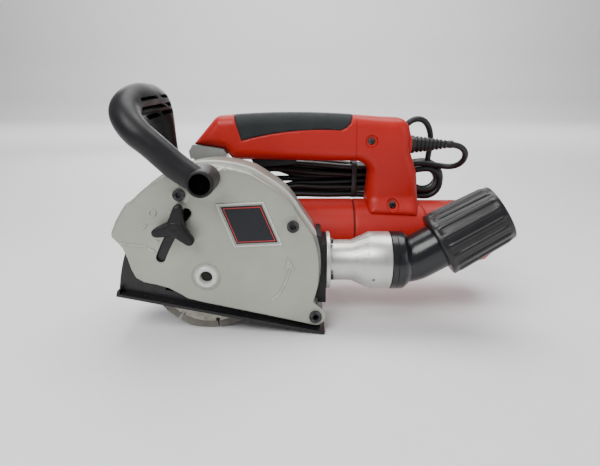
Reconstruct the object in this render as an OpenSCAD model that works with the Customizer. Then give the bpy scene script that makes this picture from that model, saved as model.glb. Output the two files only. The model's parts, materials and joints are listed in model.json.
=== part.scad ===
// Wall chaser: twin diamond discs in a cast guard, driven through a right-angle gearbox.
// Built about the spindle: x runs back towards the motor, y away from the cover, z up.

/* [Discs] */
// Diamond disc diameter
disc_d = 125; // [115:1:125]
// Diamond disc thickness
disc_t = 2.2; // [1.8:0.1:2.4]
// Segments round each disc
segments = 9; // [7:1:12]
// Cutting depth with the base shoe at rest
cut_depth = 25; // [20:1:27]
// Clear gap between the two discs
disc_gap = 17.8; // [15:0.1:18]

/* [Guard] */
// Radius of the guard's round top
guard_r = 105; // [104:1:106]
// Wall thickness of the castings
wall = 3; // [2.5:0.5:3]
// Depth of the front cover
cover_depth = 20; // [18:1:22]
// Width of the whole guard
guard_w = 70; // [68:1:70]

/* [Drive] */
// Height of the motor axis above the spindle
motor_rise = 15; // [14:0.5:16]
// Outer radius of the motor's front housing
motor_r = 39.5; // [38:0.5:40]
// Rear end of the motor
motor_end = 323; // [318:1:328]
// Teeth on the crown gear
crown_teeth = 29; // [29]
// Teeth on the pinion
pinion_teeth = 9; // [9]

/* [Handles] */
// Width of the rear handle
handle_w = 38; // [34:1:38]
// Reach of the front handle before the cover
front_reach = 38; // [36:1:40]

/* [Cord] */
// Cord diameter
cord_d = 7; // [6:0.5:8]

/* [Hidden] */
$fn = 64;

disc_r = disc_d / 2;
fit = 0.05;                     // radial clearance of a running fit

// Planes along the spindle
near_disc_y = 12;
far_disc_y = near_disc_y + disc_t + disc_gap;
flange_y = far_disc_y + disc_t;
gearbox_y = guard_w + 20;
crown_y = 94;
crown_t = 7.8;
tooth_h = 2.2;
motor_y = 111;                  // the motor's and the rear handle's middle plane

// Radii on the spindle
spindle_r = 8;
bore_r = 11.1;                  // bore of the discs
flange_r = 20;
tip_r = 6;

// Shoe: a plate that swings on the pivot
pivot = [110, -43.8];
shoe_tilt = 11.5;
spindle_drop = -pivot[0] * sin(shoe_tilt) - pivot[1] * cos(shoe_tilt);
sole_z = spindle_drop - (disc_r - cut_depth);
sole_t = 3;
sole_rear = (disc_r + pivot[1] + sole_z * cos(shoe_tilt)) / sin(shoe_tilt);
sole_front = -202;
sole_near = -5;
sole_far = 105;                 // behind the gearbox the sole is wider
outrigger_x = -76;
skirt_near = wall + 1;
skirt_far = guard_w - wall - 1;
skirt_t = 2.5;
skirt_r = 202.5;                  // the front skirt is an arc about the pivot
skirt_a0 = 7.8;
skirt_a1 = 36;
stud_a = 36;                    // direction of the depth knob's stud seen from the pivot
stud_arc_r = 167;
knob_arm = 23;

// Guard outline
guard_mid = [8.65, 6.2];
handle_boss = [6, 101];
far_foot = [-45, 80];            // where the front handle's far leg is screwed on
screw_near = [[-21.4, 84.1], [87.2, 52.7]];

// Motor along x
motor_x0 = 66;
seam_x = 155;
rear_r = motor_r - 2;
shaft_r = 5;
pinion_r = 9;
pinion_root = 6.4;
mesh_x = 25.8;                  // middle of the tooth contact
tooth_w = 1.6;

// Dust port along x
port_y = 30;
port_z = 7.4;
port_x = 121;
elbow_x = 211.5;
elbow_rise = 30.3;
sleeve_s0 = 31.6;
sleeve_s1 = 102.8;

// Hank behind the rear handle
hank_y0 = 133;
hank_w = 24;
hank_z = 73.5;
hank_r = 24.5;
hank_x0 = 35 + hank_r;
hank_x1 = 273 - hank_r;

// Cord routes, [x, y, z] in the spindle's frame
lead_route = [
    [270.8, 111, 119], [277, 111.2, 118], [283.5, 112, 115], [288, 114, 109.5], [289, 117, 102.5],
    [286.5, 121.5, 95.5], [281, 127, 90.5], [274, 133, 87], [266, 138, 84.5]
];
loop_route = [
    [206, 146, 95], [207.5, 144, 104], [209, 141, 113], [211, 138, 122], [214, 136, 131],
    [218.5, 135, 139], [225, 134.5, 145.5], [233, 134.5, 148.5], [241, 134.5, 146.5],
    [247, 135, 140], [250, 136, 131], [251.5, 138, 122], [252, 141, 112], [251, 144, 102], [249, 146, 94.5]
];

// The frame's origin: the middle of the standing object's box, on the table
ORIGIN = [
    (pivot[0] + sole_front * cos(shoe_tilt) + sole_z * sin(shoe_tilt) + motor_end) / 2,
    (motor_y + motor_r - front_reach) / 2,
    -disc_r
];

// Helpers
module placed() translate(-ORIGIN) children();
module along_y(y0, y1) translate([0, y1, 0]) rotate([90, 0, 0]) linear_extrude(y1 - y0) children();
module cyl_y(p, y0, y1, r) translate([p[0], y1, p[1]]) rotate([90, 0, 0]) cylinder(h = y1 - y0, r = r);
module cyl_x(x0, x1, r) translate([x0, motor_y, motor_rise]) rotate([0, 90, 0]) cylinder(h = x1 - x0, r = r);
module ring_y(p, y0, y1, r, hole) difference() {
    cyl_y(p, y0, y1, r);
    cyl_y(p, y0 - 1, y1 + 1, hole);
}
module ring_x(x0, x1, r, hole) difference() {
    cyl_x(x0, x1, r);
    cyl_x(x0 - 1, x1 + 1, hole);
}
module turned_x(y, z, profile) translate([0, y, z]) rotate([0, 90, 0]) rotate_extrude() polygon(profile);
module box(x, y, z) translate([x[0], y[0], z[0]]) cube([x[1] - x[0], y[1] - y[0], z[1] - z[0]]);

function arc(c, r, a0, a1, n) = [for (i = [0:n]) let (a = a0 + (a1 - a0) * i / n) c + r * [cos(a), sin(a)]];
function unit(v) = v / norm(v);
function beside(p, d) = [
    for (i = [0:len(p) - 1])
        let (t = unit(p[min(i + 1, len(p) - 1)] - p[max(i - 1, 0)])) p[i] + d * [-t[1], t[0]]
];
function reversed(p) = [for (i = [len(p) - 1:-1:0]) p[i]];
// A point seen from the pivot: distance r, a degrees above the line to the left
function from_pivot(r, a) = pivot + r * [-cos(a), sin(a)];
function sector(r0, r1, a0, a1, n) = concat(
    [for (i = [0:n]) from_pivot(r1, a0 + (a1 - a0) * i / n)],
    [for (i = [n:-1:0]) from_pivot(r0, a0 + (a1 - a0) * i / n)]
);

// A tube swept along a route: rings of n points, radii r[i] across and s[i] the other way
function tangent(p, i) = unit(p[min(i + 1, len(p) - 1)] - p[max(i - 1, 0)]);
function ring_at(p, i, r, s, n, ref) =
    let (t = tangent(p, i), u = unit(cross(t, ref)), v = cross(u, t))
    [for (k = [0:n - 1]) p[i] + r * cos(360 * k / n) * u + s * sin(360 * k / n) * v];
module swept(p, r, s, n, ref) polyhedron(
    points = [for (i = [0:len(p) - 1]) each ring_at(p, i, r[i], s[i], n, ref)],
    faces = concat(
        [[for (k = [n - 1:-1:0]) k]],
        [for (i = [0:len(p) - 2], k = [0:n - 1])
            let (a = i * n + k, b = i * n + (k + 1) % n) [a, b, b + n, a + n]],
        [[for (k = [0:n - 1]) (len(p) - 1) * n + k]]
    )
);

guard_top = concat(
    [[110.5, -31]], arc(guard_mid, guard_r, -19, 20, 8),
    [[93.3, 62.5], [88.3, 71], [82.8, 78.2], [77, 83.8], [70, 89.5], [60.5, 95.8]],
    arc(guard_mid, guard_r, 68, 158, 16), [[-89.7, 43.5]]
);
guard_low = [
    [-81.6, 31.6], [-77.9, 19.4], [-74.7, 6.8], [-71, -1.7], [-63.4, -6.5], [-51.8, -8.9],
    [-38.7, -12.9], [-28.8, -18.6], [-20, -24.3], [-5.5, -28.3], [54, -41.6]
];
guard_outline = concat(arc(pivot, 10.5, -110, 50, 10), guard_top, guard_low);
guard_rim = concat(guard_top, reversed(beside(guard_top, wall)));
seam_path = [for (i = [1:len(guard_top) - 2]) guard_top[i]];
seam_rim = concat(beside(seam_path, -2), reversed(beside(seam_path, 1)));

// Frame: the castings round the discs
module guard_cover() color("silver") placed() {
    difference() {
        union() {
            along_y(0, wall) polygon(guard_outline);
            along_y(0, cover_depth - 2) polygon(guard_rim);
            along_y(cover_depth - 2, cover_depth) polygon(seam_rim);
            cyl_y(handle_boss, -1, cover_depth, 17);
            for (p = screw_near) cyl_y(p, 0, cover_depth, 5);
            cyl_y([0, 0], -1, wall + 1, 13);
        }
        for (p = screw_near) cyl_y(p, -2, cover_depth + 1, 2.6);
        cyl_y([0, 0], -2, wall + 2, 9);
        cyl_y(handle_boss, -2, 14, 5);
        cyl_y(pivot, -1, wall + 1, 4);
        along_y(-2, wall + 1) {
            polygon(sector(stud_arc_r - 4.75, stud_arc_r + 4.75, 22.4, 41, 12));
            for (a = [22.4, 41]) translate(from_pivot(stud_arc_r, a)) circle(4.7);
        }
    }
}

module guard_housing() color("silver") placed() {
    difference() {
        union() {
            along_y(cover_depth, cover_depth + 2) polygon(seam_rim);
            along_y(cover_depth, guard_w) polygon(guard_rim);
            along_y(guard_w - wall, guard_w) polygon(guard_outline);
            for (p = screw_near) cyl_y(p, cover_depth, guard_w, 5);
            cyl_y(handle_boss, cover_depth, guard_w, 14);
            cyl_y(far_foot, guard_w - wall, guard_w + 5, 11);
        }
        for (p = screw_near) cyl_y(p, cover_depth - 1, cover_depth + 16, 2.5);
        cyl_y([0, 0], guard_w - wall - 1, guard_w + 1, 25);
        cyl_y(pivot, guard_w - wall - 1, guard_w + 1, 4);
        cyl_y(far_foot, guard_w - wall - 1, guard_w + 6, 4);
        translate([100, port_y + 8, port_z]) rotate([0, 90, 0]) cylinder(h = 20, r = 15);
    }
}

module cover_bush() color("gainsboro") placed() ring_y([0, 0], -2, 5.5, 9, tip_r);

module socket_screw(p, y0, y1, head_r, head_h, shank_r) difference() {
    union() {
        cyl_y(p, y0 - head_h, y0, head_r);
        cyl_y(p, y0 - 0.5, y1, shank_r);
    }
    translate([p[0], y0 - head_h + 3, p[1]]) rotate([90, 0, 0]) cylinder(h = 4, r = head_r * 0.5, $fn = 6);
}

module cover_screws() color("dimgray") placed()
    for (p = screw_near) socket_screw(p, 0, cover_depth + 15, 6, 4, 2.45);

module label_plate() color("black") placed() along_y(-1, 0)
    polygon([[17.3, 72.6], [31.4, 35.5], [71.2, 37.8], [56.9, 74.8]]);

module pivot_pin() color("dimgray") placed() socket_screw(pivot, 0, guard_w + 3, 6.5, 3.5, 3.95);

// Frame: gearbox
module bearing_plate() color("darkgray") placed() difference() {
    union() {
        cyl_y([0, 0], guard_w - wall, guard_w, 24.9);
        cyl_y([0, 0], guard_w, gearbox_y, 41);
    }
    cyl_y([0, 0], guard_w - wall - 1, gearbox_y + 1, 10);
    cyl_y([0, 0], 76, gearbox_y + 1, 20);
    for (a = [45:90:315]) cyl_y(37.5 * [cos(a), sin(a)], 78, gearbox_y + 1, 2);
}

gearbox_y1 = 134;
handle_foot = [[-25.5, 121], [8.5, 115.5]];
module gearbox_housing() color("darkgray") placed() difference() {
    union() {
        cyl_y([0, 0], gearbox_y, gearbox_y1, 41);
        cyl_x(0, motor_x0 - 6, 34);
        cyl_x(motor_x0 - 6, motor_x0, motor_r);
        along_y(98, 124) polygon([[-22, 30], [-27, 114], [9, 114], [16, 30]]);
        along_y(92.5, 129.5) polygon(concat(handle_foot, [[12, 110], [10, 105], [-29, 105], [-30.5, 113.5]]));
    }
    cyl_y([0, 0], guard_w, gearbox_y, 41);
    cyl_y([0, 0], gearbox_y - 1, 121, 36.5);
    cyl_y([0, 0], 120, 132, 13);
    cyl_x(10, 42, 22);
    cyl_x(41, 54, 17);
    cyl_x(53, motor_x0 + 1, 12);
    cyl_y([-24, 0], 120, gearbox_y1 + 1, 4 + fit);
    for (a = [45:90:315]) cyl_y(38.75 * [cos(a), sin(a)], gearbox_y - 1, gearbox_y1 + 2.1, 1.6);
}

module gearbox_screws() color("dimgray") placed()
    for (a = [45:90:315]) cyl_y(38.75 * [cos(a), sin(a)], gearbox_y, gearbox_y1 + 2, 1.55);

module spindle_bearings() color("lightgray") placed() {
    ring_y([0, 0], 77, 89, 20, spindle_r + fit);
    ring_y([0, 0], 122, 132, 13, tip_r + fit);
}

module motor_bearings() color("lightgray") placed() {
    ring_x(42, 53, 17, shaft_r + fit);
    ring_x(290, 299, 11, shaft_r + fit);
}

// Frame: motor
module motor_front_housing() color("firebrick") placed() difference() {
    cyl_x(motor_x0, seam_x, motor_r);
    cyl_x(motor_x0 - 1, seam_x + 1, motor_r - 4);
    for (a = [30:20:330]) translate([0, motor_y, motor_rise]) rotate([a, 0, 0])
        box([74, 96], [-2, 2], [20, motor_r + 5]);
}

module motor_rear_housing() color("firebrick") placed() difference() {
    turned_x(motor_y, motor_rise, [
        [0, seam_x], [rear_r, seam_x], [rear_r, motor_end - 20], [rear_r - 3, motor_end - 8],
        [rear_r - 10, motor_end], [0, motor_end]
    ]);
    cyl_x(seam_x - 1, 286, rear_r - 4);
    cyl_x(285, 299, 11);
    cyl_y(handle_screw_at[1], 90, 132, 4);
    for (a = [0:30:330]) translate([0, motor_y, motor_rise]) rotate([a, 0, 0])
        box([270, 300], [-2, 2], [22, rear_r + 5]);
}

module stator() color("dimgray") placed() {
    ring_x(170, 230, rear_r - 4, 22);
    ring_x(160, 170, 32, 24);
    ring_x(230, 240, 32, 24);
}

module brush_holders() color("goldenrod") placed() for (a = [90, 270])
    translate([0, motor_y, motor_rise]) rotate([a, 0, 0]) box([247, 259], [-5, 5], [12.3, rear_r - 5]);

// Frame: rear handle
handle_screw_at = [[174, 124.2], [200, 52.8]];
trigger_at = [38, 108.5];
lock_off_at = [108, 129];
relief_z = 119;
handle_outline = concat(
    handle_foot, arc([24, 117], 14, 232, 270, 4),
    arc([158, 86], 15, 90, 10, 6), [[171, 62]], arc([177, 47], 6, 180, 250, 4),
    [[230, 40], [231, 60], [228, 88], [219.5, 112], [219, 131]], arc([202, 133.5], 16, 5, 80, 6),
    arc([87, -795], 950, 84.2, 94.8, 12), arc([6.5, 140.4], 11.2, 92, 135, 4)
);
grip_edge = concat(
    [[21, 150.5], [29, 124.6]], arc([118, -200.8], 337.7, 104.9, 86.4, 8),
    [[146, 139.5], [150, 144], [152, 150.8]]
);
grip_outline = concat(grip_edge, arc([87, -795], 950.4, 86.1, 94, 10));
module handle_body(y0, y1) difference() {
    along_y(y0, y1) polygon(handle_outline);
    cyl_x(motor_x0, motor_end + 1, rear_r + fit);
    along_y(motor_y - handle_w / 2 + 4, motor_y + handle_w / 2 - 4) {
        polygon([[20, 107], [152, 107], [152, 143], [20, 143]]);
        polygon([[152, 107], [180, 95], [180, 62], [218, 62], [209, 128], [196, 137], [152, 142]]);
    }
    box([31, 94], [motor_y - 10.5, motor_y + 10.5], [95, 113]);
    along_y(motor_y - handle_w, motor_y + handle_w) polygon(concat(grip_edge, [[152, 175], [21, 175]]));
    for (p = handle_screw_at) cyl_y(p, 80, 140, 4);
    cyl_y(trigger_at, 80, 140, 2);
    translate([200, motor_y, relief_z]) rotate([0, 90, 0]) cylinder(h = 40, r = 9.5);
}

module handle_shell_near() color("firebrick") placed() handle_body(motor_y - handle_w / 2, motor_y);

module handle_shell_far() color("firebrick") placed() difference() {
    handle_body(motor_y, motor_y + handle_w / 2);
    cyl_y(lock_off_at, motor_y, 140, 6 + fit);
}

module soft_grip() color("darkslategray") placed() difference() {
    along_y(motor_y - handle_w / 2 + 0.5, motor_y + handle_w / 2 - 0.5) polygon(grip_outline);
    along_y(motor_y - handle_w / 2 + 4, motor_y + handle_w / 2 - 4) polygon([[0, 95], [152, 95], [152, 143], [0, 143]]);
}

module handle_screws() color("dimgray") placed() for (p = handle_screw_at)
    cyl_y(p, motor_y - handle_w / 2 + 5, motor_y + handle_w / 2 - 3, 3.9);

module switch_module() color("black") placed() {
    box([60, 92], [motor_y - 9, motor_y + 9], [119, 141]);
    box([92, 104], [motor_y - 4, motor_y + 4], [121, 135]);
}

// Frame: front handle, a bent bar over the guard
front_route = [
    [6, -26, 101], [-5, -26, 107.5], [-17, -25.5, 116], [-29, -25, 127], [-39, -24.5, 136], [-48.7, -23, 144],
    [-57.5, -17, 153], [-63, -7, 161.5], [-63.5, 6, 167.5], [-62, 22, 170.5], [-60, 38, 171], [-58.5, 52, 169.5],
    [-57.5, 64, 164], [-56.5, 71.5, 155], [-55, 75, 145], [-53, 77, 133], [-50.5, 79, 118],
    [-47.5, 82, 102], [-45, 83.5, 88], [-45, 83.5, 74]
];
front_r = [11, 12, 12.5, 12.5, 12.5, 13, 13.5, 14, 14.5, 16, 16.5, 17, 17.5, 17, 15.5, 13.5, 11.5, 9.8, 8.3, 8.2];
front_s = [10, 10.5, 11, 11.5, 12, 12.5, 13, 13.5, 14, 15, 15, 15, 14.5, 14, 13, 12, 11, 9.5, 8.3, 8.2];
module front_handle() color("black") placed() difference() {
    union() {
        cyl_y(handle_boss, -front_reach, -1, 12.5);
        swept(front_route, front_s, front_r, 20, unit([1, 0.35, 0.6]));
    }
    cyl_y(handle_boss, -front_reach - 1, -front_reach + 8, 9.3);
    cyl_y(handle_boss, -front_reach, -front_reach + 14.1, 7.1);
    cyl_y(handle_boss, -front_reach, 0, 4);
    cyl_y(far_foot, guard_w - 1, guard_w + 30, 4);
}

module front_handle_screws() color("dimgray") placed() {
    cyl_y(handle_boss, -front_reach + 8, -front_reach + 14, 7);
    cyl_y(handle_boss, -front_reach + 13, 13, 3.9);
    cyl_y(far_foot, guard_w - wall + 0.5, guard_w + 24, 3.9);
}

// Frame: dust extraction
module duct_plate() color("black") placed() difference() {
    union() {
        box([80, 116], [13, 58], [-34, 39]);
        box([115, port_x], [13, 58], [-34, 30]);
    }
    along_y(0, 80) polygon(concat(beside(guard_top, -2.3), [[-80, 0], [50, -60], [113, -60]]));
    translate([90, port_y, port_z]) rotate([0, 90, 0]) cylinder(h = 60, r = 16.6);
}

module dust_port() color("silver") placed() turned_x(port_y, port_z, [
    [18, port_x], [30.2, port_x], [30.2, 125], [21.4, 125], [21.4, 147.5], [30, 166.5], [30, 187.5],
    [27, 187.5], [27, 168.5], [18, 148.5]
]);

module port_screws() color("dimgray") placed() for (a = [22.5:90:292.5])
    translate([0, port_y + 26 * cos(a), port_z + 26 * sin(a)]) rotate([0, 90, 0]) {
        translate([0, 0, 125]) cylinder(h = 3, r = 3);
    }

// Frame: mains cord
module strain_relief() color("black") placed() turned_x(motor_y, relief_z, [
    [0, 205], [9.3, 205], [9.3, 218], [10, 228], [8.5, 248], [5, 268], [4.4, 270], [0, 270]
]);

module cord_lead() color("black") placed()
    swept(lead_route, [for (p = lead_route) cord_d / 2], [for (p = lead_route) cord_d / 2], 8, unit([0.2, 1, -1]));

module cord_loop() color("black") placed()
    swept(loop_route, [for (p = loop_route) cord_d / 2], [for (p = loop_route) cord_d / 2], 8, [0, 1, 0]);

module hank_outline(grow) {
    square_x = hank_x1 - hank_x0;
    translate([hank_x0, hank_z - hank_r - grow]) square([square_x, 2 * (hank_r + grow)]);
    for (x = [hank_x0, hank_x1]) translate([x, hank_z]) circle(hank_r + grow);
}
module cord_hank() color("black") placed() along_y(hank_y0, hank_y0 + hank_w) hank_outline(0);

module hank_tie() color("dimgray") placed() difference() {
    box([157, 163], [hank_y0 - 1.6, hank_y0 + hank_w + 1.6], [hank_z - hank_r - 1.6, hank_z + hank_r + 1.6]);
    box([155, 165], [hank_y0, hank_y0 + hank_w], [hank_z - hank_r, hank_z + hank_r]);
}

module plug() color("black") placed() translate([35, hank_y0 + hank_w / 2, hank_z]) rotate([0, -90, 0]) {
    cylinder(h = 14, r = 6);
    translate([0, 0, 13]) cylinder(h = 16, r = 12);
    translate([0, 0, 28]) cylinder(h = 20, r = 18.5);
    for (s = [-9.5, 9.5]) translate([s, 0, 47]) cylinder(h = 20, r = 2.4);
}

// Spindle
module spindle() color("lightgray") placed() {
    cyl_y([0, 0], 2.5, 7, tip_r - fit);
    cyl_y([0, 0], 6.5, 105, spindle_r);
    cyl_y([0, 0], 104, 131.5, tip_r);
}

module inner_flange() color("gray") placed() difference() {
    union() {
        cyl_y([0, 0], near_disc_y, flange_y + 1, bore_r);
        cyl_y([0, 0], flange_y, flange_y + 6, flange_r);
        cyl_y([0, 0], flange_y + 5, 64, 14);
    }
    cyl_y([0, 0], near_disc_y - 1, 65, spindle_r);
}

module spacer_rings() color("lightgray") placed() for (i = [0:2])
    translate([0, near_disc_y + disc_t + i * disc_gap / 3, 0])
        ring_y([0, 0], 0.02, disc_gap / 3 - 0.02, 19, bore_r);

module diamond_disc(y) difference() {
    cyl_y([0, 0], y, y + disc_t, disc_r);
    cyl_y([0, 0], y - 1, y + disc_t + 1, bore_r);
    for (i = [0:segments - 1]) rotate([0, 82.5 + i * 360 / segments, 0]) {
        box([disc_r - 8, disc_r + 1], [y - 1, y + disc_t + 1], [-0.9, 0.9]);
        cyl_y([disc_r - 8.5, 0], y - 1, y + disc_t + 1, 2.2);
    }
}
module near_disc() color("silver") placed() diamond_disc(near_disc_y);
module far_disc() color("silver") placed() diamond_disc(far_disc_y);

module outer_nut() color("gray") placed() difference() {
    cyl_y([0, 0], 7, near_disc_y, 17);
    cyl_y([0, 0], 6, near_disc_y + 1, spindle_r);
    for (a = [0:90:270]) cyl_y(13 * [cos(a), sin(a)], 6, 10, 1.8);
}

// The crown teeth are bars that pass the spindle at the motor's height, so they lie along the pinion
module crown_gear() color("slategray") placed() difference() {
    union() {
        cyl_y([0, 0], crown_y, crown_y + crown_t, 34);
        for (i = [0:crown_teeth - 1]) rotate([0, i * 360 / crown_teeth, 0])
            box([mesh_x - 4, mesh_x + 4], [crown_y + crown_t - 0.5, crown_y + crown_t + tooth_h],
                [motor_rise - tooth_w / 2, motor_rise + tooth_w / 2]);
        cyl_y([0, 0], crown_y, 104, 13);
    }
    cyl_y([0, 0], crown_y - 1, 105, spindle_r);
}

// Rotor
module rotor_shaft() color("lightgray") placed() cyl_x(21, 298, shaft_r);

module armature_core() color("chocolate") placed() {
    ring_x(172, 228, 21.4, shaft_r);
    ring_x(162, 172, 17, shaft_r);
    ring_x(228, 238, 17, shaft_r);
}

module commutator() color("peru") placed() ring_x(246, 262, 12, shaft_r);

module cooling_fan() color("black") placed() {
    ring_x(124, 127, 33, shaft_r);
    ring_x(127, 142, 9, shaft_r);
    for (a = [0:30:330]) translate([0, motor_y, motor_rise]) rotate([a, 0, 0])
        box([126.5, 140], [-0.8, 0.8], [8.7, 32]);
}

module pinion() color("slategray") placed() difference() {
    union() {
        cyl_x(mesh_x - 4, mesh_x + 8, pinion_root);
        for (i = [0:pinion_teeth - 1]) translate([0, motor_y, motor_rise])
            rotate([90 + (i + 0.5) * 360 / pinion_teeth, 0, 0])
            box([mesh_x - 4, mesh_x + 4], [-tooth_w / 2, tooth_w / 2], [pinion_root - 0.8, pinion_r]);
    }
    cyl_x(mesh_x - 5, mesh_x + 9, shaft_r);
}

// Base shoe
module shoe_local() translate([pivot[0], 0, pivot[1]]) rotate([0, shoe_tilt, 0]) children();
module skirt_plate(y0, y1, sector_r) {
    along_y(y0, y1) polygon(sector(sector_r, skirt_r - 1.5, skirt_a0 + 0.3, skirt_a1 - 3, 12));
    shoe_local() {
        box([sole_front + 7, 7.5], [y0 + 0.2, y1 - 0.2], [sole_z + 1, sole_z + 13]);
        cyl_y([0, 0], y0, y1, 8);
        box([-7, 7], [y0 + 0.1, y1 - 0.1], [sole_z + 1, 0]);
    }
}
module base_shoe() color("black") placed() difference() {
    union() {
        shoe_local() difference() {
            union() {
                box([sole_front, sole_rear], [sole_near, guard_w], [sole_z, sole_z + sole_t]);
                box([outrigger_x, sole_rear], [guard_w - 1, sole_far], [sole_z, sole_z + sole_t]);
            }
            box([-182, -52], [9, 61], [sole_z - 1, sole_z + sole_t + 1]);
        }
        skirt_plate(skirt_near, skirt_near + skirt_t, 156);
        skirt_plate(skirt_far - skirt_t, skirt_far, 176);
        along_y(skirt_near + 0.3, skirt_far - 0.3)
            polygon(sector(skirt_r - 3, skirt_r, skirt_a0, skirt_a1, 16));
        cyl_y(from_pivot(stud_arc_r, stud_a), skirt_near, skirt_near + skirt_t, 10);
    }
    cyl_y(pivot, 0, guard_w, 4);
    cyl_y(from_pivot(stud_arc_r, stud_a), 0, 10, 3);
}

module shoe_stud() color("lightgray") placed() {
    cyl_y(from_pivot(stud_arc_r, stud_a), -12, skirt_near + skirt_t, 3);
    cyl_y(from_pivot(stud_arc_r, stud_a), skirt_near + skirt_t, skirt_near + skirt_t + 2.5, 5.5);
}

module star_knob() color("black") placed() difference() {
    union() {
        cyl_y(from_pivot(stud_arc_r, stud_a), -17, -1.5, 9);
        for (a = [195, 78, -45]) translate([from_pivot(stud_arc_r, stud_a)[0], 0, from_pivot(stud_arc_r, stud_a)[1]])
            rotate([0, -a, 0]) {
                box([0, knob_arm - 4], [-16, -7], [-4, 4]);
                cyl_y([knob_arm - 4, 0], -16, -7, 4);
            }
    }
    cyl_y(from_pivot(stud_arc_r, stud_a), -12.2, 0, 3 + fit);
}

module knob_washer() color("lightgray") placed()
    ring_y(from_pivot(stud_arc_r, stud_a), -1.5, -0.4, 8, 3 + fit);

// Buttons and trigger
module trigger() color("black") placed() difference() {
    along_y(motor_y - 10, motor_y + 10) union() {
        polygon([[38, 103], [44, 94], [80, 96.5], [89, 99], [91, 105], [91, 111], [60, 114], [38, 114]]);
        translate(trigger_at) circle(5.5);
    }
    cyl_y(trigger_at, 80, 140, 2 + fit);
}
module trigger_pin() color("lightgray") placed() cyl_y(trigger_at, motor_y - 17, motor_y + 17, 2);

module lock_off_button() color("black") placed() {
    cyl_y(lock_off_at, 122, 134, 6);
    cyl_y(lock_off_at, 120, 123, 8);
}

module spindle_lock() color("black") placed() {
    cyl_y([-24, 0], 110, gearbox_y1 + 5, 4);
    cyl_y([-24, 0], gearbox_y1 + 4.5, gearbox_y1 + 9, 8);
}

// Swivelling dust elbow
module elbow_local() translate([elbow_x, port_y, port_z]) rotate([0, -elbow_rise, 0]) rotate([0, 90, 0]) children();
module dust_elbow() color("black") placed() difference() {
    union() {
        turned_x(port_y, port_z, [[0, 175], [27 - fit, 175], [27 - fit, 187.7], [30.5, 187.7], [30.5, 201],
            [28, 205], [24, elbow_x], [0, elbow_x]]);
        translate([elbow_x, port_y, port_z]) sphere(25);
        elbow_local() cylinder(h = 60, r = 24);
    }
    turned_x(port_y, port_z, [[0, 170], [24, 170], [21, 205], [21, elbow_x], [0, elbow_x]]);
    translate([elbow_x, port_y, port_z]) sphere(21.6);
    elbow_local() cylinder(h = 61, r = 21);
}

module hose_sleeve() color("black") placed() elbow_local() difference() {
    union() {
        translate([0, 0, sleeve_s0]) cylinder(h = sleeve_s1 - sleeve_s0, r1 = 33.5, r2 = 30);
        for (i = [0:17]) rotate(i * 20) translate([32.2, 0, sleeve_s0 + 5]) rotate([0, -2.8, 0])
            cylinder(h = sleeve_s1 - sleeve_s0 - 10, r = 2);
    }
    translate([0, 0, sleeve_s0 - 1]) cylinder(h = 80, r = 24);
    translate([0, 0, 60]) cylinder(h = 50, r = 28.5);
}

guard_cover();
guard_housing();
cover_bush();
cover_screws();
label_plate();
pivot_pin();
bearing_plate();
gearbox_housing();
gearbox_screws();
spindle_bearings();
motor_bearings();
motor_front_housing();
motor_rear_housing();
stator();
brush_holders();
handle_shell_near();
handle_shell_far();
soft_grip();
handle_screws();
switch_module();
front_handle();
front_handle_screws();
duct_plate();
dust_port();
port_screws();
strain_relief();
cord_lead();
cord_loop();
cord_hank();
hank_tie();
plug();
spindle();
inner_flange();
spacer_rings();
near_disc();
far_disc();
outer_nut();
crown_gear();
rotor_shaft();
armature_core();
commutator();
cooling_fan();
pinion();
base_shoe();
shoe_stud();
star_knob();
knob_washer();
trigger();
trigger_pin();
lock_off_button();
spindle_lock();
dust_elbow();
hose_sleeve();
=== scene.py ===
"""Looks of the wall chaser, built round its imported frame.

Lengths in the helpers are mm: x to the rear and z up from the spindle, y away from the cover's face."""
import json
import math

import bmesh
import bpy
import numpy as np
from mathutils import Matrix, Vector, geometry, noise

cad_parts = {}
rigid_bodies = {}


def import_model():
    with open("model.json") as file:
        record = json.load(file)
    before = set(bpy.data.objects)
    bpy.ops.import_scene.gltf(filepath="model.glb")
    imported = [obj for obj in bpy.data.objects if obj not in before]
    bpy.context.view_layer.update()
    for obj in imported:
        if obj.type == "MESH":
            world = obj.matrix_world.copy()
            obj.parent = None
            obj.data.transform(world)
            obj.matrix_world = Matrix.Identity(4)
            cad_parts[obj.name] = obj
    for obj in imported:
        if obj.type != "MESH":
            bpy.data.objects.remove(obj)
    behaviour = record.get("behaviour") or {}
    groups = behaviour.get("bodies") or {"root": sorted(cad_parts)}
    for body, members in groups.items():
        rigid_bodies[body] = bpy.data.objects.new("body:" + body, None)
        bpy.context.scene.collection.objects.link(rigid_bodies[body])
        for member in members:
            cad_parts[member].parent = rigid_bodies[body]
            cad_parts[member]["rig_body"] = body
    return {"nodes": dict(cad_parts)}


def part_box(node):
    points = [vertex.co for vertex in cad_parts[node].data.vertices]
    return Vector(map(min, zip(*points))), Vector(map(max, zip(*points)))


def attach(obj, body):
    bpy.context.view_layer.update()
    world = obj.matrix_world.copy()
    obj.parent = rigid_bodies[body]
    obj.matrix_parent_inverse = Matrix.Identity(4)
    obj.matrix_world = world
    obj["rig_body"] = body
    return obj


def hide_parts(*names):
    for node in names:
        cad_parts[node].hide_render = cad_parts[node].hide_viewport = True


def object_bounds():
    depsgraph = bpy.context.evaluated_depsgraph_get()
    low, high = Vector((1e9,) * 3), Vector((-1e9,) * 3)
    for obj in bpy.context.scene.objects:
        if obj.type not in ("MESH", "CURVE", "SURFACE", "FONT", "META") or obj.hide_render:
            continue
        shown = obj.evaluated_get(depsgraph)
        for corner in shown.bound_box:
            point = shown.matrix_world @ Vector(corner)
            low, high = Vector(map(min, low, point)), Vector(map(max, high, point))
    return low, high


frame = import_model()
cad_box = [list(v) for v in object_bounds()]
MM = 0.001

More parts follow.
